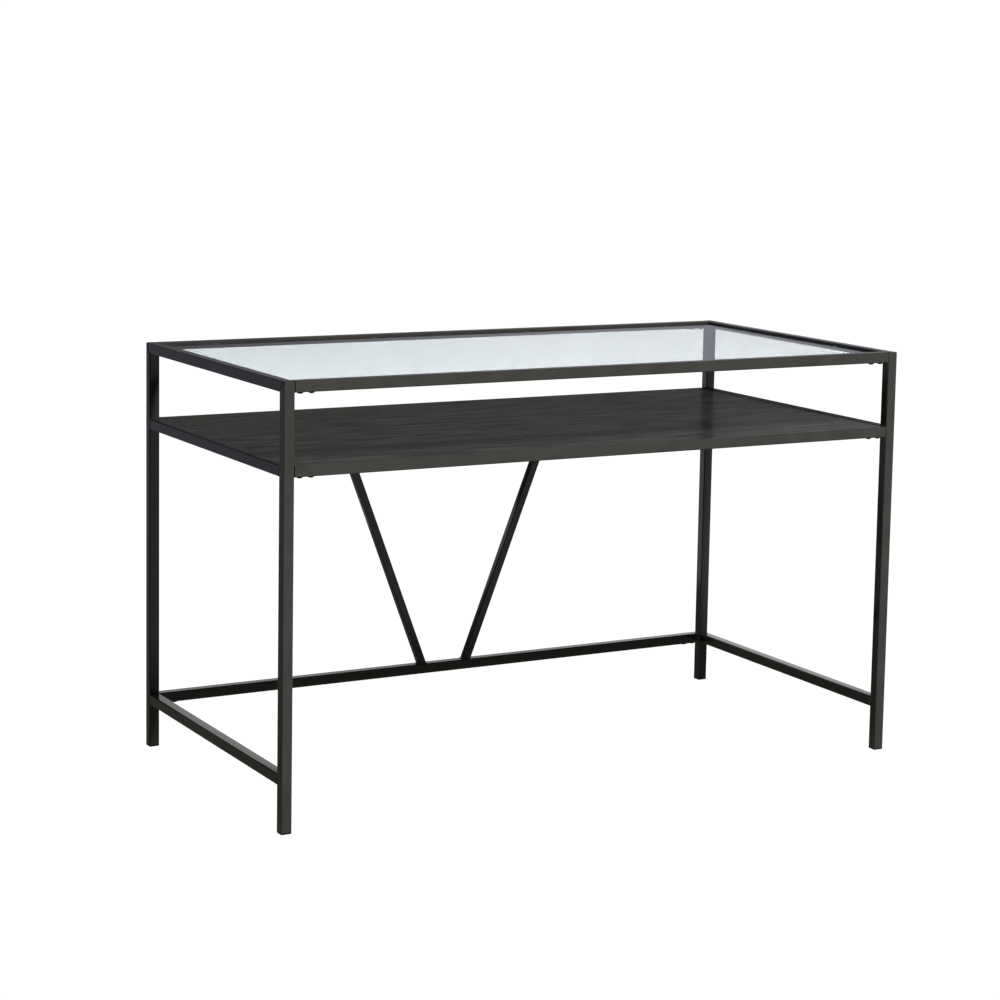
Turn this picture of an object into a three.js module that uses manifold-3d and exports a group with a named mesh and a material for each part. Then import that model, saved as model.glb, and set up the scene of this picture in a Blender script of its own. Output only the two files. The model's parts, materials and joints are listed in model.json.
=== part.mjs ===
// Computer desk: two welded side frames of square steel tube, joined by five bolted rails,
// with an inset glass top and an inset shelf board below it.
// Millimetres, +Z up, origin on the floor under the middle of the desk, front towards -Y.

import * as THREE from 'three';
import { mergeVertices } from 'three/addons/utils/BufferGeometryUtils.js';
import Module from 'manifold-3d';

// overall size
const width = 1219.2;
const depth = 609.6;
const height = 742.95;

// square tube of the frame, and the lighter tube of the V brace
const tube = 19.05;
const tubeWall = 1.5;
const tubeCorner = 2;
const braceTube = 15;
const braceWall = 1.2;
const braceCorner = 1.5;

// heights of the tops of the shelf rails and of the low rails
const shelfRailTop = 606;
const lowRailTop = 98.5;

// the V brace, measured between the centre lines of its two bars
const braceFootSpan = 97;
const braceHeadSpan = 474;

// gaps: welded joints, the open groove of a mitre, bolted joints, and the loose fit round
// the glass and the board
const weldGap = 0.3;
const mitreGap = 0.8;
const boltedGap = 1;
const glassGap = 2;
const boardGap = 1;

// glass top, sunk below the top of its frame and seated on a ledge with thin clear bumpers
const glassSink = 4;
const glassThickness = 6;
const glassEdge = 1;
const glassCorner = 3;
const bumperThickness = 1;

// shelf board, flush with its frame but for a hair
const boardThickness = 15;
const boardEdge = 0.6;
const boardCorner = 1.5;

// flat bar ledges under the glass and the board
const ledgeWidth = 12;
const ledgeThickness = 3;

// bracket inside each rail end, with two tapped holes
const bracketLength = 46;
const bracketWidth = 15;
const bracketHeight = 12;
const bracketWall = 2.5;
const bracketLift = 0.3;
const boltPlaces = [13, 33];

// M6 button head bolt and its holes
const boltRadius = 2.9;
const boltLength = 12;
const boltTaper = 0.6;
const headRadius = 5.25;
const headHeight = 3;
const headRim = 0.8;
const socketRadius = 2.1;
const tappedRadius = 3.15;
const clearanceRadius = 3.3;
const roundSides = 12;

// push-in foot cap
const capFlange = 3;
const capPlug = 14;
const capPlugWidth = 15.4;
const capCorner = 2;
const capEdge = 0.9;

const wasm = await Module();
wasm.setup();

// finishes
const paintedSteel = new THREE.MeshStandardMaterial({ color: 0x343331, roughness: 0.38, metalness: 0.35 });
const hiddenSteel = new THREE.MeshStandardMaterial({ color: 0x2e2d2c, roughness: 0.45, metalness: 0.35 });
const blackBolt = new THREE.MeshStandardMaterial({ color: 0x262626, roughness: 0.4, metalness: 0.6 });
const blackAsh = new THREE.MeshStandardMaterial({ color: 0x333231, roughness: 0.6, metalness: 0 });
const blackNylon = new THREE.MeshStandardMaterial({ color: 0x1c1c1d, roughness: 0.6, metalness: 0 });
const temperedGlass = new THREE.MeshStandardMaterial({
  color: 0xdde6e9,
  roughness: 0.05,
  metalness: 0,
  transparent: true,
  opacity: 0.4,
});

// ---- helpers ----

// a closed solid for a boolean, from a geometry whose shared vertices are merged
function toSolid(geometry) {
  const bare = geometry.clone();
  bare.deleteAttribute('normal');
  bare.deleteAttribute('uv');
  const merged = mergeVertices(bare, 1e-4);
  return new wasm.Manifold(new wasm.Mesh({
    numProp: 3,
    vertProperties: new Float32Array(merged.attributes.position.array),
    triVerts: new Uint32Array(merged.index.array),
  }));
}

// the geometry with each of the cutters taken away from it
function cutAway(geometry, cutters) {
  let solid = toSolid(geometry);
  for (const cutter of cutters) {
    solid = solid.subtract(toSolid(cutter));
  }
  const mesh = solid.getMesh();
  const result = new THREE.BufferGeometry();
  result.setAttribute('position', new THREE.BufferAttribute(mesh.vertProperties, 3));
  result.setIndex(new THREE.BufferAttribute(mesh.triVerts, 1));
  result.computeVertexNormals();
  return result;
}

// the outline of a rectangle with round corners, centred on the origin
function roundedRectangle(path, sizeX, sizeY, radius) {
  const x = sizeX / 2 - radius;
  const y = sizeY / 2 - radius;
  path.absarc(x, y, radius, 0, Math.PI / 2);
  path.absarc(-x, y, radius, Math.PI / 2, Math.PI);
  path.absarc(-x, -y, radius, Math.PI, Math.PI * 1.5);
  path.absarc(x, -y, radius, Math.PI * 1.5, Math.PI * 2);
  path.closePath();
  return path;
}

// an open-ended square tube along Z, from z = 0 to its length;
// each end is cut along a slope: its z changes by that much for each millimetre of x or y
function squareTube(side, wall, corner, length, startSlope = [0, 0], endSlope = [0, 0]) {
  const shape = roundedRectangle(new THREE.Shape(), side, side, corner);
  const inside = side - 2 * wall;
  shape.holes.push(roundedRectangle(new THREE.Path(), inside, inside, corner - wall / 2));
  const geometry = new THREE.ExtrudeGeometry(shape, { depth: length, bevelEnabled: false, curveSegments: 2 });
  const place = geometry.attributes.position;
  for (let i = 0; i < place.count; i += 1) {
    const slope = place.getZ(i) > length / 2 ? endSlope : startSlope;
    place.setZ(i, place.getZ(i) + slope[0] * place.getX(i) + slope[1] * place.getY(i));
  }
  geometry.computeVertexNormals();
  return geometry;
}

// a flat plate with round corners and chamfered edges, from z = 0 to its thickness
function plate(sizeX, sizeY, thickness, corner, edge) {
  const shape = roundedRectangle(new THREE.Shape(), sizeX - 2 * edge, sizeY - 2 * edge, corner);
  const geometry = new THREE.ExtrudeGeometry(shape, {
    depth: thickness - 2 * edge,
    bevelThickness: edge,
    bevelSize: edge,
    bevelSegments: 1,
    curveSegments: 2,
  });
  return geometry.translate(0, 0, edge);
}

// an upright cylinder that cuts a round hole through z = 0
function holeCutter(radius, x) {
  const reach = 10;
  return new THREE.CylinderGeometry(radius, radius, reach, roundSides).rotateX(Math.PI / 2).translate(x, 0, 0);
}

function addMesh(parent, name, geometry, material, x, y, z) {
  const mesh = new THREE.Mesh(geometry, material);
  mesh.name = name;
  mesh.position.set(x, y, z);
  parent.add(mesh);
  return mesh;
}

// ---- the pieces ----

// an upright leg; its top is mitred down towards the inside of the side frame
function legGeometry(inward) {
  const top = height - capFlange - tube / 2 - mitreGap / Math.SQRT2;
  return squareTube(tube, tubeWall, tubeCorner, top, [0, 0], [0, -inward]);
}

// the top rail of a side frame, along Y and mitred at both ends, centred on its own axis
function mitredRailGeometry() {
  const length = depth - tube - Math.SQRT2 * mitreGap;
  const geometry = squareTube(tube, tubeWall, tubeCorner, length, [0, 1], [0, -1]);
  return geometry.translate(0, 0, -length / 2).rotateX(-Math.PI / 2);
}

// a rail of a side frame that butts between the two legs, along Y
function sideRailGeometry() {
  const length = depth - 2 * tube - 2 * weldGap;
  return squareTube(tube, tubeWall, tubeCorner, length).translate(0, 0, -length / 2).rotateX(-Math.PI / 2);
}

// a bolted rail along X, with two clearance holes through its underside at each end
function boltedRailGeometry() {
  const length = width - 2 * tube - 2 * boltedGap;
  const rail = squareTube(tube, tubeWall, tubeCorner, length).translate(0, 0, -length / 2).rotateY(Math.PI / 2);
  const cutters = [];
  for (const place of boltPlaces) {
    for (const side of [-1, 1]) {
      const x = side * (width / 2 - tube - place);
      cutters.push(holeCutter(clearanceRadius, x).translate(0, 0, -tube / 2));
    }
  }
  return cutAway(rail, cutters);
}

// a channel that opens upwards, welded to a leg by one end and running away from it along X;
// its underside is at z = 0
function bracketGeometry(direction) {
  const half = bracketWidth / 2;
  const shape = new THREE.Shape([
    new THREE.Vector2(-half, 0),
    new THREE.Vector2(half, 0),
    new THREE.Vector2(half, bracketHeight),
    new THREE.Vector2(half - bracketWall, bracketHeight),
    new THREE.Vector2(half - bracketWall, bracketWall),
    new THREE.Vector2(-half + bracketWall, bracketWall),
    new THREE.Vector2(-half + bracketWall, bracketHeight),
    new THREE.Vector2(-half, bracketHeight),
  ]);
  const length = bracketLength - weldGap;
  const channel = new THREE.ExtrudeGeometry(shape, { depth: length, bevelEnabled: false });
  channel.rotateX(Math.PI / 2).rotateZ(Math.PI / 2).translate(weldGap, 0, 0);
  const cutters = boltPlaces.map((place) => holeCutter(tappedRadius, place));
  const geometry = cutAway(channel, cutters);
  return direction > 0 ? geometry : geometry.rotateZ(Math.PI);
}

// a button head bolt, head down, with the underside of its head at z = 0
function boltGeometry() {
  const crownSteps = 3;
  const profile = [new THREE.Vector2(0, -headHeight)];
  for (let i = 0; i <= crownSteps; i += 1) {
    const turn = (i / crownSteps) * (Math.PI / 2);
    const r = socketRadius + (headRadius - socketRadius) * Math.sin(turn);
    profile.push(new THREE.Vector2(r, -headRim - (headHeight - headRim) * Math.cos(turn)));
  }
  profile.push(new THREE.Vector2(headRadius, 0));
  profile.push(new THREE.Vector2(boltRadius, 0));
  profile.push(new THREE.Vector2(boltRadius, boltLength - boltTaper));
  profile.push(new THREE.Vector2(boltRadius - boltTaper, boltLength));
  profile.push(new THREE.Vector2(0, boltLength));
  return new THREE.LatheGeometry(profile, roundSides).rotateX(Math.PI / 2);
}

// a foot cap: a flange as wide as the leg, with a plug that goes up into it
function footCapGeometry() {
  const flange = toSolid(plate(tube, tube, capFlange, capCorner, capEdge));
  const plug = plate(capPlugWidth, capPlugWidth, capPlug + capFlange / 2, capCorner, capEdge);
  const cap = flange.add(toSolid(plug.translate(0, 0, capFlange / 2))).getMesh();
  const geometry = new THREE.BufferGeometry();
  geometry.setAttribute('position', new THREE.BufferAttribute(cap.vertProperties, 3));
  geometry.setIndex(new THREE.BufferAttribute(cap.triVerts, 1));
  geometry.computeVertexNormals();
  return geometry;
}

// a bar of the V brace, leaning away from the middle as it rises, cut level at both ends
function addBraceBar(parent, name, direction) {
  const low = lowRailTop + weldGap;
  const high = shelfRailTop - tube - weldGap;
  const lean = Math.atan((braceHeadSpan - braceFootSpan) / 2 / (high - low));
  const length = (high - low) / Math.cos(lean);
  const slope = [direction * Math.tan(lean), 0];
  const geometry = squareTube(braceTube, braceWall, braceCorner, length, slope, slope);
  const bar = addMesh(parent, name, geometry, paintedSteel, (direction * braceFootSpan) / 2, rearY, low);
  bar.rotation.y = direction * lean;
}

// ---- assembly ----

const sideX = (width - tube) / 2;
const frontY = -(depth - tube) / 2;
const rearY = (depth - tube) / 2;
const topRailZ = height - tube / 2;
const shelfRailZ = shelfRailTop - tube / 2;
const lowRailZ = lowRailTop - tube / 2;

// the five bolted rails: name, y and z of the axis
const boltedRails = [
  ['front_top', frontY, topRailZ],
  ['rear_top', rearY, topRailZ],
  ['front_shelf', frontY, shelfRailZ],
  ['rear_shelf', rearY, shelfRailZ],
  ['rear_low', rearY, lowRailZ],
];

// legs, side rails, foot caps and the brackets for the bolted rails, on one side
function addSideFrame(parent, side, direction) {
  const frame = new THREE.Group();
  frame.position.x = -direction * sideX;
  parent.add(frame);
  for (const [end, y, inward] of [['front', frontY, 1], ['rear', rearY, -1]]) {
    addMesh(frame, `${side}_${end}_leg`, legGeometry(inward), paintedSteel, 0, y, capFlange);
    addMesh(frame, `${side}_${end}_foot_cap`, footCapGeometry(), blackNylon, 0, y, 0);
  }
  addMesh(frame, `${side}_top_rail`, mitredRailGeometry(), paintedSteel, 0, 0, topRailZ);
  addMesh(frame, `${side}_shelf_rail`, sideRailGeometry(), paintedSteel, 0, 0, shelfRailZ);
  addMesh(frame, `${side}_low_rail`, sideRailGeometry(), paintedSteel, 0, 0, lowRailZ);
  for (const [name, y, z] of boltedRails) {
    const underside = z - tube / 2 + tubeWall + bracketLift;
    const bracket = bracketGeometry(direction);
    addMesh(frame, `${side}_${name}_bracket`, bracket, hiddenSteel, (direction * tube) / 2, y, underside);
  }
}

// a rail along X and the four bolts that hold it
function addBoltedRail(parent, name, y, z) {
  addMesh(parent, `${name}_rail`, boltedRailGeometry(), paintedSteel, 0, y, z);
  for (const [side, direction] of [['left', 1], ['right', -1]]) {
    boltPlaces.forEach((place, index) => {
      const x = -direction * (width / 2 - tube - place);
      const bolt = `${side}_${name}_bolt_${index + 1}`;
      addMesh(parent, bolt, boltGeometry(), blackBolt, x, y, z - tube / 2);
    });
  }
}

// four flat bars welded inside the top frame, a bumper's thickness below the glass
function addGlassLedges(parent) {
  const z = height - glassSink - glassThickness - bumperThickness - ledgeThickness / 2;
  const long = width - 2 * tube - 2 * weldGap;
  const short = depth - 2 * tube - 2 * ledgeWidth - 4 * weldGap;
  const x = width / 2 - tube - weldGap - ledgeWidth / 2;
  const y = depth / 2 - tube - weldGap - ledgeWidth / 2;
  for (const [end, sign] of [['front', -1], ['rear', 1]]) {
    const bar = new THREE.BoxGeometry(long, ledgeWidth, ledgeThickness);
    addMesh(parent, `${end}_glass_ledge`, bar, hiddenSteel, 0, sign * y, z);
  }
  for (const [side, sign] of [['left', -1], ['right', 1]]) {
    const bar = new THREE.BoxGeometry(ledgeWidth, short, ledgeThickness);
    addMesh(parent, `${side}_glass_ledge`, bar, hiddenSteel, sign * x, 0, z);
  }
}

// two flat bars welded inside the front and rear shelf rails, level with their undersides
function addShelfLedges(parent) {
  const long = width - 2 * tube - 2 * weldGap;
  const y = depth / 2 - tube - weldGap - ledgeWidth / 2;
  const z = shelfRailTop - tube + ledgeThickness / 2;
  for (const [end, sign] of [['front', -1], ['rear', 1]]) {
    const bar = new THREE.BoxGeometry(long, ledgeWidth, ledgeThickness);
    addMesh(parent, `${end}_shelf_ledge`, bar, hiddenSteel, 0, sign * y, z);
  }
}

// the glass top and the shelf board, each inside its frame of rails
function addPanels(parent) {
  const innerWidth = width - 2 * tube;
  const innerDepth = depth - 2 * tube;
  const glassX = innerWidth - 2 * glassGap;
  const glassY = innerDepth - 2 * glassGap;
  const glass = plate(glassX, glassY, glassThickness, glassCorner, glassEdge);
  addMesh(parent, 'glass_top', glass, temperedGlass, 0, 0, height - glassSink - glassThickness);
  const boardX = innerWidth - 2 * boardGap;
  const boardY = innerDepth - 2 * boardGap;
  const board = plate(boardX, boardY, boardThickness, boardCorner, boardEdge);
  addMesh(parent, 'shelf_board', board, blackAsh, 0, 0, shelfRailTop - tube + ledgeThickness);
}

const desk = new THREE.Group();
addSideFrame(desk, 'left', 1);
addSideFrame(desk, 'right', -1);
for (const [name, y, z] of boltedRails) {
  addBoltedRail(desk, name, y, z);
}
addBraceBar(desk, 'left_brace', -1);
addBraceBar(desk, 'right_brace', 1);
addGlassLedges(desk);
addShelfLedges(desk);
addPanels(desk);

export default desk;
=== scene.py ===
import json
import math

import bmesh
import bpy
from mathutils import Matrix, Vector

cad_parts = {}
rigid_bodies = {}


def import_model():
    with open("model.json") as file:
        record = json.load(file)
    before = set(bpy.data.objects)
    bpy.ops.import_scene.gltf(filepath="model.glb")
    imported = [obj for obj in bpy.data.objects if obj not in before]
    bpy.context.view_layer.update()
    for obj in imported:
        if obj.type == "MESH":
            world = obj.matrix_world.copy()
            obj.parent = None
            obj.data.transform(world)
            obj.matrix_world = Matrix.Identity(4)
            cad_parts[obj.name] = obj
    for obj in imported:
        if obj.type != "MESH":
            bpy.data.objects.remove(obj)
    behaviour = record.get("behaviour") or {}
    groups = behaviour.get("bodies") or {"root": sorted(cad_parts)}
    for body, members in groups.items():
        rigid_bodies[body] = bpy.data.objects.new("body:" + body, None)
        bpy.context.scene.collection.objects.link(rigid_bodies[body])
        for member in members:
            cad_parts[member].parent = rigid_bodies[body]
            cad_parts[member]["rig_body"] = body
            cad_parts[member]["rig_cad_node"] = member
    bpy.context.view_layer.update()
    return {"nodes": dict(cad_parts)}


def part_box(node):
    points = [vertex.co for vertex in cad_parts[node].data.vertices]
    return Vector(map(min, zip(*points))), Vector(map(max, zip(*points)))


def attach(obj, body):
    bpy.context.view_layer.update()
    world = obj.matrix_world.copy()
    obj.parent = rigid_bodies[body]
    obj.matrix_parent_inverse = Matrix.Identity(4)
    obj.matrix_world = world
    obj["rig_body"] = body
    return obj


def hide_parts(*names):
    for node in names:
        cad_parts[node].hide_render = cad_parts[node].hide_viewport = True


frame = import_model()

# Computer desk: black powder-coated tube frame, inset glass top, black ash shelf.
# The frame gives every place. What is typed here is in millimetres times mm, with the studio
# in metres and angles in degrees.
nodes = frame["nodes"]
scene = bpy.context.scene
mm = 0.001
up = Vector((0, 0, 1))
sides = ("left", "right")
ends = ("front", "rear")
parallel = 0.99  # directions count as the same above this dot product
touching = 0.02 * mm  # heights count as the same within this
white = "#ffffff"
print("frame loaded:", len(nodes), "nodes")


def linear(hexCode):  # "#rrggbb" as the linear colour that a shader takes
    channels = [int(hexCode[i:i + 2], 16) / 255 for i in (1, 3, 5)]
    return [c / 12.92 if c < 0.04045 else ((c + 0.055) / 1.055) ** 2.4 for c in channels] + [1]


def plug(tree, node, inputs):  # a value, socket or node into each input; a node gives its first live output
    for socket, value in inputs.items():
        if isinstance(value, bpy.types.Node):
            value = next(output for output in value.outputs if output.enabled)
        if isinstance(value, bpy.types.NodeSocket):
            tree.links.new(value, node.inputs[socket])
        else:
            node.inputs[socket].default_value = value
    return node


def addNode(tree, kind, settings=None, inputs=None):
    node = tree.nodes.new("ShaderNode" + kind)
    for name, value in (settings or {}).items():
        setattr(node, name, value)
    return plug(tree, node, inputs or {})


def newMaterial(name, values):  # its node tree, shader and object coordinates, values on the shader
    material = bpy.data.materials.new(name)
    material.use_nodes = True
    tree = material.node_tree
    shader = plug(tree, tree.nodes["Principled BSDF"], values)
    place = addNode(tree, "TexCoord").outputs["Object"]
    return material, tree, shader, place


def onlySelect(*pieces):
    if bpy.context.mode != "OBJECT":
        bpy.ops.object.mode_set(mode="OBJECT")
    bpy.ops.object.select_all(action="DESELECT")
    for piece in pieces:
        piece.select_set(True)
    bpy.context.view_layer.objects.active = pieces[0]


def settle(name):  # the new primitive gets its name, and its place goes into its mesh
    piece = bpy.context.active_object
    piece.name = piece.data.name = name
    bpy.ops.object.transform_apply(location=True, rotation=True, scale=True)
    return piece


def pick(piece, parts, test):  # in edit mode, selects the faces, edges or verts that pass the test
    bpy.ops.mesh.select_mode(type={"faces": "FACE", "edges": "EDGE", "verts": "VERT"}[parts])
    bpy.ops.mesh.select_all(action="DESELECT")
    mesh = bmesh.from_edit_mesh(piece.data)
    mesh.normal_update()
    for part in getattr(mesh, parts):
        if test(part):
            part.select_set(True)
    mesh.select_flush_mode()
    bmesh.update_edit_mesh(piece.data)


def facing(direction):  # faces that point this way
    return lambda face: face.normal.dot(Vector(direction)) > parallel


def along(direction):  # edges that run this way, either end first
    def test(edge):
        run = (edge.verts[0].co - edge.verts[1].co).normalized()
        return abs(run.dot(Vector(direction))) > parallel
    return test


def rimOf(height):  # edges that lie at this height
    return lambda edge: all(abs(vert.co.z - height) < touching for vert in edge.verts)


def finish(piece, material, smooth, replaced=()):  # smooth is the angle up to which edges shade round
    onlySelect(piece)
    bpy.ops.object.shade_smooth_by_angle(angle=math.radians(smooth))
    piece.data.materials.clear()
    piece.data.materials.append(material)
    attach(piece, "root")
    if replaced:
        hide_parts(*replaced)
    return piece


def applyModifier(piece, kind, **settings):
    onlySelect(piece)
    modifier = piece.modifiers.new(kind.title(), kind)
    for name, value in settings.items():
        setattr(modifier, name, value)
    bpy.ops.object.modifier_apply(modifier=modifier.name)


def copyOf(piece, name, move):  # its own mesh, moved
    onlySelect(piece)
    bpy.ops.object.duplicate(linked=False)
    twin = bpy.context.active_object
    twin.name = twin.data.name = name
    twin.parent = None
    twin.location = move
    bpy.ops.object.transform_apply(location=True, rotation=True, scale=True)
    return twin


view = {
    "place": (-2.2145, -3.8994, 1.2359),  # someone standing by the left front corner
    "yaw": 29.048, "pitch": 7.040, "roll": 1.015,  # degrees right of +Y, down, and anticlockwise
    "lens": 89.65, "sensor": 36, "shift": -0.12,  # mm, mm, and the lens slid down
}


def addCamera():
    bpy.ops.object.camera_add()
    camera = bpy.context.active_object
    camera.name = "DeskCamera"
    turn = (Matrix.Rotation(-math.radians(view["yaw"]), 4, "Z")
            @ Matrix.Rotation(math.pi / 2 - math.radians(view["pitch"]), 4, "X")
            @ Matrix.Rotation(math.radians(view["roll"]), 4, "Z"))
    camera.matrix_world = Matrix.Translation(view["place"]) @ turn
    camera.data.lens = view["lens"]
    camera.data.sensor_width = view["sensor"]
    camera.data.shift_y = view["shift"]
    scene.camera = camera


room = {
    "floorSize": 200,  # so that its edge lies on the horizon
    "seen": 1.04, "throughGlass": (2.95, "#fffffa"),  # lit past white, so it stays white through the glass
    "bounce": 0.1,  # what the paper gives back to the desk
    # what gloss picks up from the paper: dim and warm by the desk, a painted shadow of the desk on the floor;
    # cooler far off, lighter in front
    "near": (0.13, "#ffffe8"), "far": (0.25, "#e9e9ff"), "front": (0.42, "#fffef4"),
    "leftFront": (0.03, white),  # a painted dark patch in the floor's glow, so the tube corners mirror it and read as dark lines
    # where each turns into the next: out from the middle, then to the front, and sideways
    "farEdge": (0.7, 3.2), "frontEdges": ((-0.1, -0.6), (-0.66, -0.5)),
    "leftFrontEdges": ((-0.3, -0.4), (-0.66, -0.72)),
    # the room above the horizon, left and right, and how far right a ray points where they meet
    "darkSide": 0.035, "litSide": 0.06, "sideEdge": (-0.2, 0.7),
}

cards = {  # light: weak end, strong end and hue; grow: from where to where along X; low and high: corners
    # behind the desk and lower than the shelf, so that only the low rails mirror it
    "LowCard": {"light": (0.6, 1.0, "#fbf9ff"), "grow": (0.5, 1.2),
                "low": (-0.36, 0), "high": (1.95, 0.585), "back": 1.1},
    # a narrow one at the height of the top, mirrored by the glass and the top rails, too high for the shelf
    "TopCard": {"light": (0.12, 0.37, "#f0f1ff"), "grow": (-0.5, 0.4),
                "low": (-0.8, 0.768), "high": (1.35, 0.88), "back": 0.5},
}


def tint(light):  # (strength, "#rrggbb") as one colour
    return [light[0] * c for c in linear(light[1])[:3]] + [1]


def stagePlane(name, size, place, turn, colour):  # a glowing plane; colour is a function of tree and place
    bpy.ops.object.select_all(action="DESELECT")
    bpy.ops.mesh.primitive_plane_add(size=1, location=place, rotation=turn)
    bpy.context.active_object.scale = (size[0], size[1], 1)
    plane = settle(name)
    material = bpy.data.materials.new(name + "Glow")
    material.use_nodes = True
    tree = material.node_tree
    tree.nodes.clear()
    where = addNode(tree, "SeparateXYZ", {}, {0: addNode(tree, "TexCoord").outputs["Object"]})
    glow = addNode(tree, "Emission", {}, {"Color": colour(tree, where), "Strength": 1})
    addNode(tree, "OutputMaterial", {}, {"Surface": glow})
    plane.data.materials.append(material)
    return plane


def paperColour(tree, where):
    right, back = where.outputs["X"], where.outputs["Y"]
    backSquared = addNode(tree, "Math", {"operation": "MULTIPLY"}, {0: back, 1: back})
    squared = addNode(tree, "Math", {"operation": "MULTIPLY_ADD"}, {0: right, 1: right, 2: backSquared})
    away = addNode(tree, "Math", {"operation": "SQRT"}, {0: squared})
    ramps = []
    for distance, (start, stop) in (
            (away, room["farEdge"]), *zip((back, right), room["frontEdges"]),
            *zip((back, right), room["leftFrontEdges"])):
        ramps.append(addNode(tree, "MapRange", {}, {
            "Value": distance, "From Min": start, "From Max": stop}))
    layers = [(ramps[0], room["far"])]  # each covers the ones before it
    # the front glows lighter, and the left front is a painted dark patch for the tube corners to mirror
    for area, pair in (("front", ramps[1:3]), ("leftFront", ramps[3:5])):
        inArea = addNode(tree, "Math", {"operation": "MULTIPLY"}, {0: pair[0], 1: pair[1]})
        layers.append((inArea, room[area]))
    rays = addNode(tree, "LightPath")
    layers.append((rays.outputs["Is Diffuse Ray"], (room["bounce"], white)))
    layers.append((rays.outputs["Is Camera Ray"], (room["seen"], white)))
    # through the glass in a straight line, with no bounce on the way
    bounces = addNode(tree, "Math", {"operation": "ADD"}, {
        0: rays.outputs["Glossy Depth"], 1: rays.outputs["Diffuse Depth"]})
    straight = addNode(tree, "Math", {"operation": "LESS_THAN"}, {0: bounces, 1: 0.5})
    through = addNode(tree, "Math", {"operation": "MULTIPLY"}, {
        0: rays.outputs["Is Transmission Ray"], 1: straight})
    layers.append((through, room["throughGlass"]))
    # under all the layers, the dim glow by the desk: the painted shadow of the desk on the floor
    colour = tint(room["near"])
    for share, light in layers:
        colour = addNode(tree, "Mix", {"data_type": "RGBA"}, {0: share, 6: colour, 7: tint(light)})
    return colour


def addCard(name, card):  # an upright lit card across the back, seen by gloss alone
    left, low = card["low"]
    right, high = card["high"]
    weak, strong, hue = card["light"]

    def colour(tree, where):
        start, stop = card["grow"]
        grown = addNode(tree, "MapRange", {}, {
            "Value": where.outputs["X"], "From Min": start, "From Max": stop})
        return addNode(tree, "Mix", {"data_type": "RGBA"}, {
            0: grown, 6: tint((weak, hue)), 7: tint((strong, hue))})

    plane = stagePlane(name, (right - left, high - low),
                       ((left + right) / 2, card["back"], (low + high) / 2), (math.pi / 2, 0, 0), colour)
    plane.visible_camera = plane.visible_diffuse = False
    plane.visible_transmission = plane.visible_shadow = False


def addRoom():
    stagePlane("PaperFloor", (room["floorSize"], room["floorSize"]), (0, 0, 0), (0, 0, 0), paperColour)
    for name, card in cards.items():
        addCard(name, card)
    world = bpy.data.worlds.new("StudioRoom")
    scene.world = world
    world.use_nodes = True
    tree = world.node_tree
    tree.nodes.clear()
    way = addNode(tree, "SeparateXYZ", {}, {0: addNode(tree, "TexCoord").outputs["Generated"]})
    start, stop = room["sideEdge"]
    walls = addNode(tree, "MapRange", {}, {
        "Value": way.outputs["X"], "From Min": start, "From Max": stop,
        "To Min": room["darkSide"], "To Max": room["litSide"]})
    rays = addNode(tree, "LightPath")
    strength = addNode(tree, "Mix", {"data_type": "FLOAT"}, {
        0: rays.outputs["Is Camera Ray"], 2: walls, 3: room["seen"]})
    light = addNode(tree, "Background", {}, {"Color": linear(white), "Strength": strength})
    addNode(tree, "OutputWorld", {}, {"Surface": light})


softboxes = {  # place, size, watts and colour
    "KeySoftbox": ((0.6, -5.2, 5.85), (0.7, 1.8), 910, "#fffdf8"),
    "BackSoftbox": ((0.6, 4.6, 1.9), (2.4, 1.6), 180, "#fbfcff"),
    "SideSoftbox": ((4.6, 0.6, 1.5), (1.6, 1.6), 130, "#fbfcff"),
}
lampTarget = Vector((0, 0, 0.45))  # the middle of the desk


def addSoftbox(name, place, size, power, colour):
    aim = (lampTarget - Vector(place)).to_track_quat("-Z", "Y").to_euler()
    bpy.ops.object.light_add(type="AREA", location=place, rotation=aim)
    lamp = bpy.context.active_object
    lamp.name = name
    lamp.data.shape = "RECTANGLE"
    lamp.data.size, lamp.data.size_y = size
    lamp.data.energy = power
    lamp.data.color = linear(colour)[:3]
    # no hard glints on the tube corners, and no white box behind the glass
    lamp.visible_camera = lamp.visible_glossy = lamp.visible_transmission = False


addCamera()
addRoom()
for name, settings in softboxes.items():
    addSoftbox(name, *settings)
scene.view_settings.view_transform = "Standard"
print("camera, room and light")


usual = {"From Min": 0.3, "From Max": 0.7}  # most of a noise lies between these


# Powder coat on steel: epoxy-polyester powder that flowed in the oven. Deep black with a soft
# orange peel, semi-gloss, so faces hold a clear reflection when seen at a slant.
powderCoat = {
    "tone": ("#31302e", "#373634"), "patch": 45 * mm, "patchEdge": (0.35, 0.65),
    "peel": 3.2 * mm,  # real ripples are 1 to 2 mm; drawn wider, so that they show
    "peelDepth": 0.003 * mm, "gloss": (0.08, 0.13),
}

# The same powder, thinner and drier, where the frame hides it.
thinCoat = {
    "tone": ("#292826", "#302f2d"), "patch": 30 * mm, "patchEdge": (0.35, 0.65),
    "peel": 2.5 * mm, "peelDepth": 0.02 * mm, "gloss": (0.36, 0.46),
}


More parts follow.
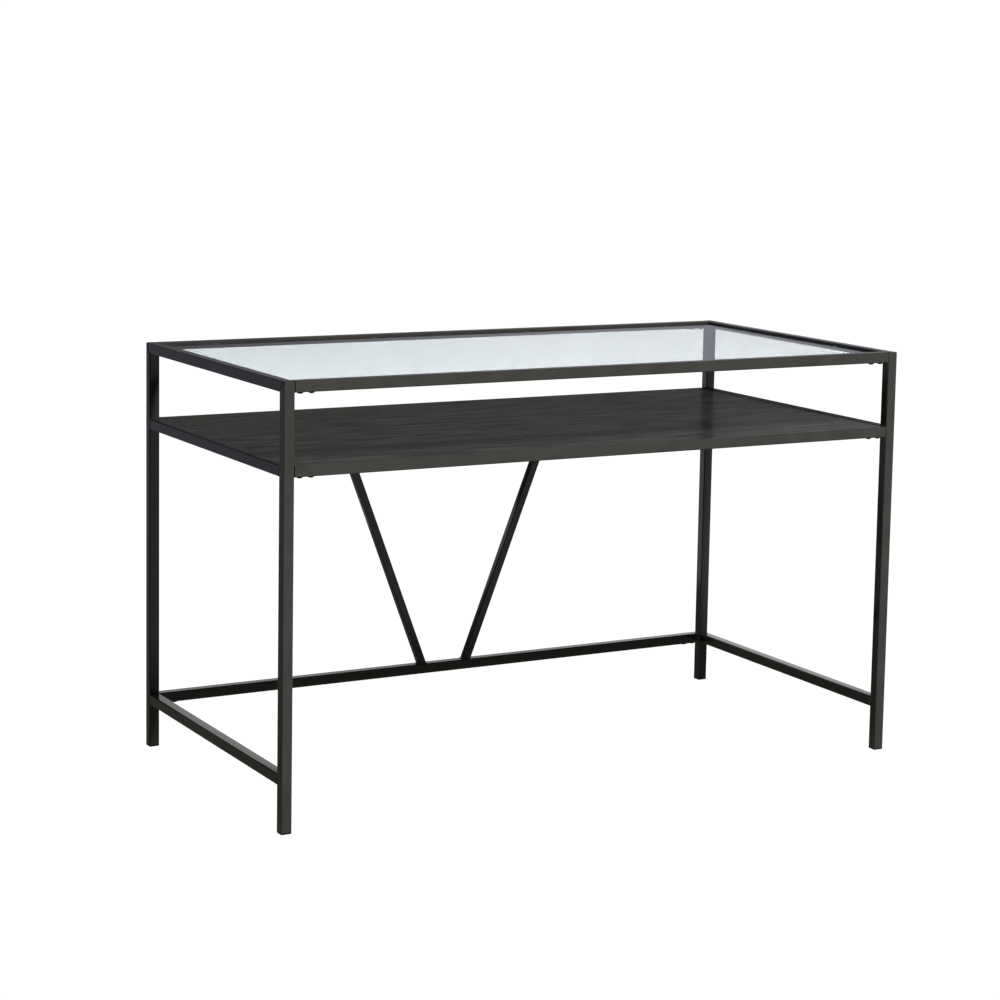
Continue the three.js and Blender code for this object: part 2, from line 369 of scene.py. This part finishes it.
def powderCoatedSteel(name, coat):
    material, tree, shader, place = newMaterial(name, {"IOR": 1.5})
    cloud = addNode(tree, "TexNoise", {}, {"Vector": place, "Scale": 1 / coat["patch"], "Detail": 3})
    start, stop = coat["patchEdge"]
    patches = addNode(tree, "MapRange", {}, {"Value": cloud, "From Min": start, "From Max": stop})
    dark, light = [linear(c) for c in coat["tone"]]
    tone = addNode(tree, "Mix", {"data_type": "RGBA"}, {0: patches, 6: dark, 7: light})
    speck = addNode(tree, "TexNoise", {}, {"Vector": place, "Scale": 1 / (2 * coat["peel"]), "Detail": 2})
    shiny, dull = coat["gloss"]
    gloss = addNode(tree, "MapRange", {}, {"Value": speck, **usual, "To Min": shiny, "To Max": dull})
    peel = addNode(tree, "TexNoise", {}, {"Vector": place, "Scale": 1 / coat["peel"], "Detail": 1.5})
    ripples = addNode(tree, "Bump", {}, {"Height": peel, "Distance": coat["peelDepth"]})
    plug(tree, shader, {"Base Color": tone, "Roughness": gloss, "Normal": ripples})
    return material


# Black ash laminate: a printed grain with pores pressed into it, satin, on fibreboard.
ash = {
    "dark": "#0f0e0e", "light": "#474442", "pore": "#0b0a09", "arch": "#524e48",
    "gloss": (0.18, 0.25), "glossEdge": (0.3, 1.2),
    # each pattern: its width, how many times longer it is along the board, detail and roughness
    "drift": (70 * mm, 8, 1.5, 0.5), "driftBy": 22 * mm,  # the grain wanders sideways along the board
    "bands": (11 * mm, 12, 3, 0.6),  # growth bands
    "fibres": (2.6 * mm, 45, 3, 0.6), "fibreShare": 0.3,
    "toneEdge": (0.48, 0.86),  # where bands and fibres together turn from dark to light
    "pores": (1.3 * mm, 20, 1, 0.5),  # real pores are 0.3 mm wide; wider, to show
    "poreEdge": (0.58, 0.7), "poreShare": 0.7, "poreDepth": 0.006 * mm,
    # cathedral arches, in rows along the board, strong on the crown of a row and lost down its flanks
    "archStep": 12 * mm, "archHalf": 70 * mm, "archReach": 0.4, "archShare": 0.4,
    "lineEdge": (0.1, 0.9), "crownEdge": (0.1, 0.42),  # of the lines' sine, and of archHalf
    "wobble": (30 * mm, 3, 2, 0.5), "wobbleBy": 9,  # radians
    "patches": (60 * mm, 3, 1, 0.5), "patchEdge": (0.48, 0.62),  # the arches show in patches
}


def ashLaminate():
    material, tree, shader, place = newMaterial("BlackAshLaminate", {"IOR": 1.48})
    drawn = {}

    def drawOut(names, where):  # patterns drawn out along the board
        for name in names:
            width, length, detail, rough = ash[name]
            stretched = addNode(tree, "Mapping", {}, {"Vector": where, "Scale": (1 / length, 1, 1)})
            drawn[name] = addNode(tree, "TexNoise", {}, {
                "Vector": stretched, "Scale": 1 / width, "Detail": detail, "Roughness": rough})

    drawOut(("drift", "wobble", "patches"), place)
    drift = addNode(tree, "MapRange", {}, {
        "Value": drawn["drift"], "To Min": -ash["driftBy"], "To Max": ash["driftBy"]})
    sway = addNode(tree, "CombineXYZ", {}, {"Y": drift})
    grain = addNode(tree, "VectorMath", {"operation": "ADD"}, {0: place, 1: sway})
    drawOut(("bands", "fibres", "pores"), grain)
    tone = addNode(tree, "Math", {"operation": "MULTIPLY_ADD"}, {
        0: drawn["fibres"], 1: ash["fibreShare"], 2: drawn["bands"]})

    # arches are lines of equal x + bend * y * y
    across = addNode(tree, "SeparateXYZ", {}, {0: grain})
    fromCrown = addNode(tree, "Math", {"operation": "PINGPONG"}, {
        0: across.outputs["Y"], 1: ash["archHalf"]})
    squared = addNode(tree, "Math", {"operation": "MULTIPLY"}, {0: fromCrown, 1: fromCrown})
    bend = ash["archReach"] / ash["archHalf"] ** 2
    reach = addNode(tree, "Math", {"operation": "MULTIPLY_ADD"}, {
        0: squared, 1: bend, 2: across.outputs["X"]})
    steps = addNode(tree, "Math", {"operation": "MULTIPLY"}, {0: reach, 1: 2 * math.pi / ash["archStep"]})
    turns = addNode(tree, "Math", {"operation": "MULTIPLY_ADD"}, {
        0: drawn["wobble"], 1: ash["wobbleBy"], 2: steps})
    lines = addNode(tree, "Math", {"operation": "SINE"}, {0: turns})

    clear = {}
    for name, value in (("tone", tone), ("pore", drawn["pores"]), ("line", lines), ("patch", drawn["patches"])):
        start, stop = ash[name + "Edge"]
        clear[name] = addNode(tree, "MapRange", {}, {"Value": value, "From Min": start, "From Max": stop})
    start, stop = [share * ash["archHalf"] for share in ash["crownEdge"]]
    crown = addNode(tree, "MapRange", {}, {
        "Value": fromCrown, "From Min": start, "From Max": stop, "To Min": 1, "To Max": 0})
    arches = clear["line"]
    for share in (crown, clear["patch"], ash["archShare"]):
        arches = addNode(tree, "Math", {"operation": "MULTIPLY"}, {0: arches, 1: share})
    inked = addNode(tree, "Math", {"operation": "MULTIPLY"}, {0: clear["pore"], 1: ash["poreShare"]})
    colour = linear(ash["dark"])
    for share, hue in ((clear["tone"], "light"), (arches, "arch"), (inked, "pore")):
        colour = addNode(tree, "Mix", {"data_type": "RGBA"}, {0: share, 6: colour, 7: linear(ash[hue])})

    rough = addNode(tree, "Math", {"operation": "ADD"}, {0: drawn["fibres"], 1: clear["pore"]})
    start, stop = ash["glossEdge"]
    shiny, dull = ash["gloss"]
    gloss = addNode(tree, "MapRange", {}, {
        "Value": rough, "From Min": start, "From Max": stop, "To Min": shiny, "To Max": dull})
    raised = addNode(tree, "Math", {"operation": "MULTIPLY"}, {0: drawn["fibres"], 1: ash["fibreShare"]})
    pressed = addNode(tree, "Math", {"operation": "SUBTRACT"}, {0: raised, 1: clear["pore"]})
    relief = addNode(tree, "Bump", {}, {"Height": pressed, "Distance": ash["poreDepth"]})
    plug(tree, shader, {"Base Color": colour, "Roughness": gloss, "Normal": relief})
    return material


# Black edge tape, 0.5 mm of ABS rolled on with hot glue: plainer and a little shinier than the face.
edging = {
    "tone": ("#262525", "#302f2f"), "streak": 2 * mm, "streakLength": 30, "depth": 0.02 * mm,
    "gloss": (0.3, 0.42),
}


def edgeTape():
    material, tree, shader, place = newMaterial("BlackEdgeTape", {"IOR": 1.54})
    flat = 1 / edging["streakLength"]  # streaks lie level, round all four edges
    level = addNode(tree, "Mapping", {}, {"Vector": place, "Scale": (flat, flat, 1)})
    streaks = addNode(tree, "TexNoise", {}, {"Vector": level, "Scale": 1 / edging["streak"], "Detail": 2})
    dark, light = [linear(c) for c in edging["tone"]]
    tone = addNode(tree, "Mix", {"data_type": "RGBA"}, {0: streaks, 6: dark, 7: light})
    shiny, dull = edging["gloss"]
    gloss = addNode(tree, "MapRange", {}, {"Value": streaks, **usual, "To Min": shiny, "To Max": dull})
    relief = addNode(tree, "Bump", {}, {"Height": streaks, "Distance": edging["depth"]})
    plug(tree, shader, {"Base Color": tone, "Roughness": gloss, "Normal": relief})
    return material


# Tempered float glass: clear with the faint green-blue of its iron, flat but for a roller wave.
glass = {
    "tint": "#f3fbff", "shade": "#eef2f1",  # what lamps lose through it
    "wave": 260 * mm, "waveWidth": 5, "waveDepth": 0.002 * mm,
    "smear": 120 * mm, "smearEdge": (0.4, 0.7), "film": (0, 0.002),
}


def temperedGlass():
    material, tree, shader, place = newMaterial("TemperedFloatGlass", {
        "IOR": 1.5, "Transmission Weight": 1, "Base Color": linear(glass["tint"])})
    smear = addNode(tree, "TexNoise", {}, {"Vector": place, "Scale": 1 / glass["smear"], "Detail": 3})
    start, stop = glass["smearEdge"]
    clean, filmed = glass["film"]
    gloss = addNode(tree, "MapRange", {}, {
        "Value": smear, "From Min": start, "From Max": stop, "To Min": clean, "To Max": filmed})
    wide = addNode(tree, "Mapping", {}, {"Vector": place, "Scale": (1, 1 / glass["waveWidth"], 1)})
    wave = addNode(tree, "TexNoise", {}, {"Vector": wide, "Scale": 1 / glass["wave"], "Detail": 0})
    relief = addNode(tree, "Bump", {}, {"Height": wave, "Distance": glass["waveDepth"]})
    plug(tree, shader, {"Roughness": gloss, "Normal": relief})
    # lamps shine through to what is below
    rays = addNode(tree, "LightPath")
    clear = addNode(tree, "BsdfTransparent", {}, {"Color": linear(glass["shade"])})
    mixed = addNode(tree, "MixShader", {}, {0: rays.outputs["Is Shadow Ray"], 1: shader, 2: clear})
    plug(tree, tree.nodes["Material Output"], {"Surface": mixed})
    return material


# Black zinc on steel screws: a thin dyed layer, dark metal with a broken sheen.
zinc = {"tone": ("#1f1f21", "#33333a"), "grain": 1.2 * mm, "depth": 0.01 * mm, "gloss": (0.3, 0.48)}


def blackZinc():
    material, tree, shader, place = newMaterial("BlackZincSteel", {"Metallic": 1})
    cloud = addNode(tree, "TexNoise", {}, {"Vector": place, "Scale": 1 / zinc["grain"], "Detail": 3})
    patches = addNode(tree, "MapRange", {}, {"Value": cloud, **usual})
    dark, light = [linear(c) for c in zinc["tone"]]
    tone = addNode(tree, "Mix", {"data_type": "RGBA"}, {0: patches, 6: dark, 7: light})
    shiny, dull = zinc["gloss"]
    gloss = addNode(tree, "MapRange", {}, {"Value": cloud, **usual, "To Min": shiny, "To Max": dull})
    relief = addNode(tree, "Bump", {}, {"Height": cloud, "Distance": zinc["depth"]})
    plug(tree, shader, {"Base Color": tone, "Roughness": gloss, "Normal": relief})
    return material


# Moulded nylon foot caps: spark-eroded mould, so an even fine matt.
nylon = {"tone": ("#161617", "#1e1e1f"), "grain": 0.8 * mm, "depth": 0.03 * mm, "gloss": (0.5, 0.62)}


def mouldedNylon():
    material, tree, shader, place = newMaterial("MouldedNylon", {"IOR": 1.53})
    grain = addNode(tree, "TexNoise", {}, {"Vector": place, "Scale": 1 / nylon["grain"], "Detail": 2})
    dark, light = [linear(c) for c in nylon["tone"]]
    tone = addNode(tree, "Mix", {"data_type": "RGBA"}, {0: grain, 6: dark, 7: light})
    shiny, dull = nylon["gloss"]
    gloss = addNode(tree, "MapRange", {}, {"Value": grain, **usual, "To Min": shiny, "To Max": dull})
    relief = addNode(tree, "Bump", {}, {"Height": grain, "Distance": nylon["depth"]})
    plug(tree, shader, {"Base Color": tone, "Roughness": gloss, "Normal": relief})
    return material


# Clear polyurethane bumpers: soft and waxy, a little cloudy.
clearRubber = {"tint": "#dfe4e2", "cloud": 2 * mm, "gloss": (0.16, 0.3)}


def clearPolyurethane():
    material, tree, shader, place = newMaterial("ClearPolyurethane", {
        "IOR": 1.49, "Transmission Weight": 0.85, "Base Color": linear(clearRubber["tint"])})
    cloud = addNode(tree, "TexNoise", {}, {"Vector": place, "Scale": 1 / clearRubber["cloud"], "Detail": 2})
    shiny, dull = clearRubber["gloss"]
    gloss = addNode(tree, "MapRange", {}, {"Value": cloud, **usual, "To Min": shiny, "To Max": dull})
    plug(tree, shader, {"Roughness": gloss})
    return material


coated = powderCoatedSteel("SemiGlossPowderCoat", powderCoat)
thinlyCoated = powderCoatedSteel("ThinPowderCoat", thinCoat)
laminate = ashLaminate()
taped = edgeTape()
floatGlass = temperedGlass()
zincPlated = blackZinc()
nylonMoulding = mouldedNylon()
polyurethane = clearPolyurethane()
print("materials")


def paintNode(name, material):
    mesh = nodes[name].data
    mesh.materials.clear()
    mesh.materials.append(material)


def copyTube(name):  # the CAD tube as one closed skin, free of the frame
    onlySelect(nodes[name])
    bpy.ops.object.duplicate(linked=False)
    tube = bpy.context.active_object
    tube.name = tube.data.name = name + "_tube"
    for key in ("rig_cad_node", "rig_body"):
        if key in tube:
            del tube[key]
    tube.parent = None
    bpy.ops.object.mode_set(mode="EDIT")
    bpy.ops.mesh.select_all(action="SELECT")
    bpy.ops.mesh.remove_doubles(threshold=0.001 * mm)
    bpy.ops.object.mode_set(mode="OBJECT")
    return tube


mitre = {"width": 3 * mm, "deep": 1.2 * mm, "reach": 34 * mm}


def easeMitre(side, end, cutTubes):  # a shallow groove along the mitre, on both sides of the side frame
    low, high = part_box(side + "_top_rail")
    half = (high.z - low.z) / 2
    front = end == "front"
    middleY = low.y + half if front else high.y - half
    for x in (low.x, high.x):
        bpy.ops.object.select_all(action="DESELECT")
        bpy.ops.mesh.primitive_cube_add(size=1, scale=(2 * mitre["deep"], mitre["reach"], mitre["width"]))
        cutter = settle("mitreCutter")
        cutter.rotation_euler = (-math.pi / 4 if front else math.pi / 4, 0, 0)
        cutter.location = (x, middleY, high.z - half)
        for tube in cutTubes:
            applyModifier(tube, "BOOLEAN", operation="DIFFERENCE", object=cutter, solver="EXACT")
        bpy.data.objects.remove(cutter)


tubes = {name: copyTube(name) for name in sorted(nodes) if name.endswith(("_leg", "_rail", "_brace"))}
for side in sides:
    for end in ends:
        easeMitre(side, end, [tubes[side + "_top_rail"], tubes[f"{side}_{end}_leg"]])
for name, tube in tubes.items():  # corners shaded round, faces kept flat
    finish(tube, coated, 40, [name])
    applyModifier(tube, "WEIGHTED_NORMAL", keep_sharp=True, weight=100)
for name in sorted(nodes):
    if name.endswith(("_bracket", "_ledge")):
        paintNode(name, thinlyCoated)
print("tubes, brackets and ledges")


panel = {
    "glassCorner": 3 * mm, "glassArris": 1 * mm,
    "boardCorner": 1.5 * mm, "boardArris": 0.6 * mm, "tape": 0.5 * mm,
}


def addPanel(name, node, corner, arris, steps):  # a plate in the node's box, round corners, arrised edges
    low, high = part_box(node)
    bpy.ops.object.select_all(action="DESELECT")
    bpy.ops.mesh.primitive_cube_add(size=1, location=(low + high) / 2, scale=high - low)
    plate = settle(name)
    bpy.ops.object.mode_set(mode="EDIT")
    pick(plate, "edges", along(up))
    bpy.ops.mesh.bevel(offset=corner, segments=2 * steps, affect="EDGES")
    pick(plate, "edges", lambda edge: rimOf(low.z)(edge) or rimOf(high.z)(edge))
    bpy.ops.mesh.bevel(offset=arris, segments=steps, affect="EDGES")
    return plate


top = addPanel("glass_pane", "glass_top", panel["glassCorner"], panel["glassArris"], 4)
finish(top, floatGlass, 60, ["glass_top"])
applyModifier(top, "WEIGHTED_NORMAL", keep_sharp=True, weight=100)

board = addPanel("ash_shelf", "shelf_board", panel["boardCorner"], panel["boardArris"], 2)
# the tape's joint shows as a line just inside the edge, on both faces
pick(board, "faces", lambda face: facing(up)(face) or facing(-up)(face))
bpy.ops.mesh.inset(thickness=panel["tape"], use_individual=True)
finish(board, laminate, 60, ["shelf_board"])
board.data.materials.append(taped)
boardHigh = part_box("shelf_board")[1]
for face in board.data.polygons:  # only the two broad faces have their centre well inside the board
    broad = abs(face.center.x) < boardHigh.x / 2 and abs(face.center.y) < boardHigh.y / 2
    face.material_index = 0 if broad else 1
applyModifier(board, "WEIGHTED_NORMAL", keep_sharp=True, weight=100)
print("glass and shelf")


bolt = {
    # a button head: a rim, then a dome that ends in a flat
    "head": 3 * mm, "rim": 0.8 * mm, "domeSteps": 6, "domeAngle": 62, "domeNarrows": 0.62,
    "socket": 3.46 * mm, "socketDepth": 1.7 * mm,  # for a 3 mm hexagon key, measured across its corners
    "shank": 2.9 * mm, "pitch": 1 * mm, "threadDepth": 0.5 * mm,
}


def addBolt(name, node):
    low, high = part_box(node)
    centre = (low + high) / 2
    radius = (high.x - low.x) / 2
    seat = low.z + bolt["head"]  # where the head bears on the rail
    bpy.ops.object.select_all(action="DESELECT")
    bpy.ops.mesh.primitive_cylinder_add(
        vertices=48, radius=radius, depth=bolt["rim"],
        location=(centre.x, centre.y, seat - bolt["rim"] / 2))
    piece = settle(name)
    bpy.ops.object.mode_set(mode="EDIT")
    pick(piece, "faces", facing(-up))
    rise = bolt["head"] - bolt["rim"]
    fullAngle = math.radians(bolt["domeAngle"])
    spread, z = 1, seat - bolt["rim"]
    for step in range(1, bolt["domeSteps"] + 1):
        angle = step / bolt["domeSteps"] * fullAngle
        newSpread = 1 - bolt["domeNarrows"] * (1 - math.cos(angle)) / (1 - math.cos(fullAngle))
        newZ = seat - bolt["rim"] - rise * math.sin(angle) / math.sin(fullAngle)
        bpy.ops.mesh.extrude_region_move(TRANSFORM_OT_translate={"value": (0, 0, newZ - z)})
        bpy.ops.transform.resize(value=(newSpread / spread, newSpread / spread, 1),
                                 center_override=(centre.x, centre.y, newZ))
        spread, z = newSpread, newZ
    pick(piece, "faces", facing(up))
    bpy.ops.mesh.inset(thickness=radius - bolt["shank"])
    z = seat
    halfPitch = bolt["pitch"] / 2
    root = 1 - bolt["threadDepth"] / bolt["shank"]
    for turn in range(int((high.z - seat) / bolt["pitch"])):
        for scale in (root, 1 / root):
            z += halfPitch
            bpy.ops.mesh.extrude_region_move(TRANSFORM_OT_translate={"value": (0, 0, halfPitch)})
            bpy.ops.transform.resize(value=(scale, scale, 1), center_override=(centre.x, centre.y, z))
    bpy.ops.object.mode_set(mode="OBJECT")
    # the hexagon socket, cut from below
    bpy.ops.object.select_all(action="DESELECT")
    bpy.ops.mesh.primitive_cylinder_add(
        vertices=6, radius=bolt["socket"] / 2, depth=2 * bolt["socketDepth"],
        location=(centre.x, centre.y, low.z))
    key = settle("hexKey")
    applyModifier(piece, "BOOLEAN", operation="DIFFERENCE", object=key, solver="EXACT")
    bpy.data.objects.remove(key)
    return piece


boltNodes = sorted(name for name in nodes if "_bolt_" in name)
firstBolt = addBolt("button_bolt_model", boltNodes[0])
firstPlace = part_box(boltNodes[0])[0]
for name in boltNodes:
    piece = copyOf(firstBolt, name + "_screw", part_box(name)[0] - firstPlace)
    finish(piece, zincPlated, 30, [name])
bpy.data.objects.remove(firstBolt)
print("bolts:", len(boltNodes))


cap = {
    "flange": 3 * mm, "corner": 2 * mm, "edge": 0.9 * mm, "rim": 2.2 * mm, "recess": 1 * mm,
    "plugWall": 1.6 * mm, "plugDeep": 12 * mm, "plugInset": 1.82 * mm,
}


def addFootCap(name, node):
    low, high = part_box(node)
    centre = (low + high) / 2
    flangeTop = low.z + cap["flange"]
    bpy.ops.object.select_all(action="DESELECT")
    bpy.ops.mesh.primitive_cube_add(
        size=1, location=(centre.x, centre.y, low.z + cap["flange"] / 2),
        scale=(high.x - low.x, high.y - low.y, cap["flange"]))
    piece = settle(name)
    bpy.ops.object.mode_set(mode="EDIT")
    pick(piece, "edges", along(up))
    bpy.ops.mesh.bevel(offset=cap["corner"], segments=6, affect="EDGES")
    pick(piece, "edges", rimOf(low.z))
    bpy.ops.mesh.bevel(offset=cap["edge"], segments=4, affect="EDGES")
    pick(piece, "faces", facing(-up))  # a rim to stand on, round a shallow recess
    bpy.ops.mesh.inset(thickness=cap["rim"])
    bpy.ops.mesh.extrude_region_move(TRANSFORM_OT_translate={"value": (0, 0, cap["recess"])})

    def onFlange(face):  # faces the recess makes lie lower
        return facing(up)(face) and abs(face.calc_center_median().z - flangeTop) < touching

    pick(piece, "faces", onFlange)  # the hollow plug that grips inside the tube
    bpy.ops.mesh.inset(thickness=cap["plugInset"])
    bpy.ops.mesh.extrude_region_move(TRANSFORM_OT_translate={"value": (0, 0, high.z - flangeTop)})
    bpy.ops.mesh.inset(thickness=cap["plugWall"])
    bpy.ops.mesh.extrude_region_move(TRANSFORM_OT_translate={"value": (0, 0, -cap["plugDeep"])})
    bpy.ops.object.mode_set(mode="OBJECT")
    return piece


capNodes = sorted(name for name in nodes if name.endswith("_foot_cap"))
firstCap = addFootCap("foot_cap_model", capNodes[0])
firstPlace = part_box(capNodes[0])[0]
for name in capNodes:
    piece = copyOf(firstCap, name + "_moulding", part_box(name)[0] - firstPlace)
    finish(piece, nylonMoulding, 40, [name])
bpy.data.objects.remove(firstCap)
print("foot caps:", len(capNodes))


bumper = {  # under the glass, at shares of half of each ledge
    "radius": 4 * mm, "edge": 0.35 * mm,
    "alongFront": (-0.82, -0.28, 0.28, 0.82), "alongSide": (-0.55, 0.55),
}


def addBumper(name, place, height):
    bpy.ops.object.select_all(action="DESELECT")
    bpy.ops.mesh.primitive_cylinder_add(
        vertices=32, radius=bumper["radius"], depth=height, location=place + up * height / 2)
    piece = settle(name)
    bpy.ops.object.mode_set(mode="EDIT")
    pick(piece, "edges", rimOf(place.z + height))
    bpy.ops.mesh.bevel(offset=bumper["edge"], segments=3, affect="EDGES")
    return piece


def addBumpers():
    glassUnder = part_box("glass_top")[0].z
    firstPiece = None
    for ledge in ends + sides:
        low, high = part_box(ledge + "_glass_ledge")
        centre = (low + high) / 2
        half = (high - low) / 2
        shares = bumper["alongFront"] if ledge in ends else bumper["alongSide"]
        for number, share in enumerate(shares, 1):
            offset = Vector((share * half.x, 0, 0)) if ledge in ends else Vector((0, share * half.y, 0))
            place = Vector((centre.x, centre.y, high.z)) + offset
            name = f"{ledge}_bumper_{number}"
            if firstPiece is None:
                piece = firstPiece = addBumper(name, place, glassUnder - high.z)
                firstSpot = place
            else:
                piece = copyOf(firstPiece, name, place - firstSpot)
            finish(piece, polyurethane, 40)


addBumpers()
print("bumpers")


screw = {  # holds the board to its ledges, at shares of half of each ledge
    "headRadius": 3.6 * mm, "head": 2 * mm, "headRound": 1.1 * mm,
    "shank": 1.6 * mm, "length": 13 * mm, "point": 0.25, "tip": 0.15,  # shares of the length and the shank
    "cross": (3.6 * mm, 0.9 * mm, 1.4 * mm), "along": (-0.8, -0.27, 0.27, 0.8),
}


def addScrew(name, place):  # a pan head screw pointing up, its head against the ledge at place
    bpy.ops.object.select_all(action="DESELECT")
    bpy.ops.mesh.primitive_cylinder_add(
        vertices=32, radius=screw["headRadius"], depth=screw["head"],
        location=place - up * screw["head"] / 2)
    piece = settle(name)
    bpy.ops.object.mode_set(mode="EDIT")
    pick(piece, "edges", rimOf(place.z - screw["head"]))
    bpy.ops.mesh.bevel(offset=screw["headRound"], segments=5, affect="EDGES")
    pick(piece, "faces", facing(up))
    bpy.ops.mesh.inset(thickness=screw["headRadius"] - screw["shank"])
    for share in (1 - screw["point"], screw["point"]):
        bpy.ops.mesh.extrude_region_move(TRANSFORM_OT_translate={"value": (0, 0, screw["length"] * share)})
    tipPlace = place + up * screw["length"]
    bpy.ops.transform.resize(value=(screw["tip"], screw["tip"], 1), center_override=tipPlace)
    bpy.ops.object.mode_set(mode="OBJECT")
    length, width, deep = screw["cross"]
    for sizeX, sizeY in ((length, width), (width, length)):
        bpy.ops.object.select_all(action="DESELECT")
        bpy.ops.mesh.primitive_cube_add(
            size=1, location=place - up * screw["head"], scale=(sizeX, sizeY, 2 * deep))
        blade = settle("crossBlade")
        applyModifier(piece, "BOOLEAN", operation="DIFFERENCE", object=blade, solver="EXACT")
        bpy.data.objects.remove(blade)
    return piece


def addScrews():
    firstPiece = None
    for end in ends:
        low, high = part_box(end + "_shelf_ledge")
        for number, share in enumerate(screw["along"], 1):
            place = Vector((share * high.x, (low.y + high.y) / 2, low.z))
            name = f"{end}_shelf_screw_{number}"
            if firstPiece is None:
                piece = firstPiece = addScrew(name, place)
                firstSpot = place
            else:
                piece = copyOf(firstPiece, name, place - firstSpot)
            finish(piece, zincPlated, 30)


addScrews()
print("shelf screws")


weld = {  # beads under the powder
    "radius": 1.5 * mm, "round": 14, "railLength": 15 * mm,
    "ripple": 1.6 * mm, "swell": 1.12, "taper": (0.35, 0.75, 0.95),  # the first rings in from each end
}


def addBead(name, length, place, turn):  # a rippled bead along local X, centred at place
    rings = max(3, round(length / weld["ripple"]))
    bpy.ops.object.select_all(action="DESELECT")
    bpy.ops.mesh.primitive_cylinder_add(
        vertices=weld["round"], radius=weld["radius"], depth=length, rotation=(0, math.pi / 2, 0))
    piece = settle(name)
    bpy.ops.object.mode_set(mode="EDIT")
    pick(piece, "edges", along((1, 0, 0)))
    bpy.ops.mesh.subdivide(number_cuts=2 * rings - 1)
    step = length / (2 * rings)
    for ring in range(2 * rings + 1):
        x = -length / 2 + ring * step
        fromEnd = min(ring, 2 * rings - ring)
        if fromEnd < len(weld["taper"]):
            scale = weld["taper"][fromEnd]
        else:
            scale = weld["swell"] if ring % 2 else 1
        pick(piece, "verts", lambda vert: abs(vert.co.x - x) < step / 4)
        bpy.ops.transform.resize(value=(1, scale, scale), center_override=(x, 0, 0))
    bpy.ops.object.mode_set(mode="OBJECT")
    piece.rotation_euler = turn
    piece.location = place
    bpy.ops.object.transform_apply(location=True, rotation=True, scale=True)
    return finish(piece, coated, 60)


def barEnd(node, height):  # the box of a slanting bar's cut end at this height
    slack = 0.05 * mm
    points = [vert.co for vert in nodes[node].data.vertices if abs(vert.co.z - height) < slack]
    low = Vector([min(p[i] for p in points) for i in range(3)])
    high = Vector([max(p[i] for p in points) for i in range(3)])
    return low, high


def addBeads():
    alongX, alongY, alongZ = (0, 0, 0), (0, 0, math.pi / 2), (0, math.pi / 2, 0)
    for side in sides:
        brace = side + "_brace"
        low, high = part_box(brace)
        for end, height in (("foot", low.z), ("head", high.z)):
            endLow, endHigh = barEnd(brace, height)
            centre = (endLow + endHigh) / 2
            span = endHigh - endLow
            for face, y in (("front", endLow.y), ("back", endHigh.y)):
                addBead(f"{brace}_{end}_{face}_weld", span.x, Vector((centre.x, y, height)), alongX)
            for face, x in (("left", endLow.x), ("right", endHigh.x)):
                addBead(f"{brace}_{end}_{face}_weld", span.y, Vector((x, centre.y, height)), alongY)
        for level in ("top", "shelf", "low"):
            low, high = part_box(f"{side}_{level}_rail")
            inner = high.x if side == "left" else low.x
            for end, y in (("front", low.y), ("rear", high.y)):
                if level == "top":  # the mitre: only the inner corner below is welded
                    y += (high.z - low.z) * (1 if end == "front" else -1)
                place = Vector(((low.x + high.x) / 2, y, low.z))
                addBead(f"{side}_{level}_{end}_under_weld", weld["railLength"], place, alongX)
                if level != "top":
                    place = Vector((inner, y, (low.z + high.z) / 2))
                    addBead(f"{side}_{level}_{end}_inner_weld", weld["railLength"], place, alongZ)


addBeads()
print("weld beads")
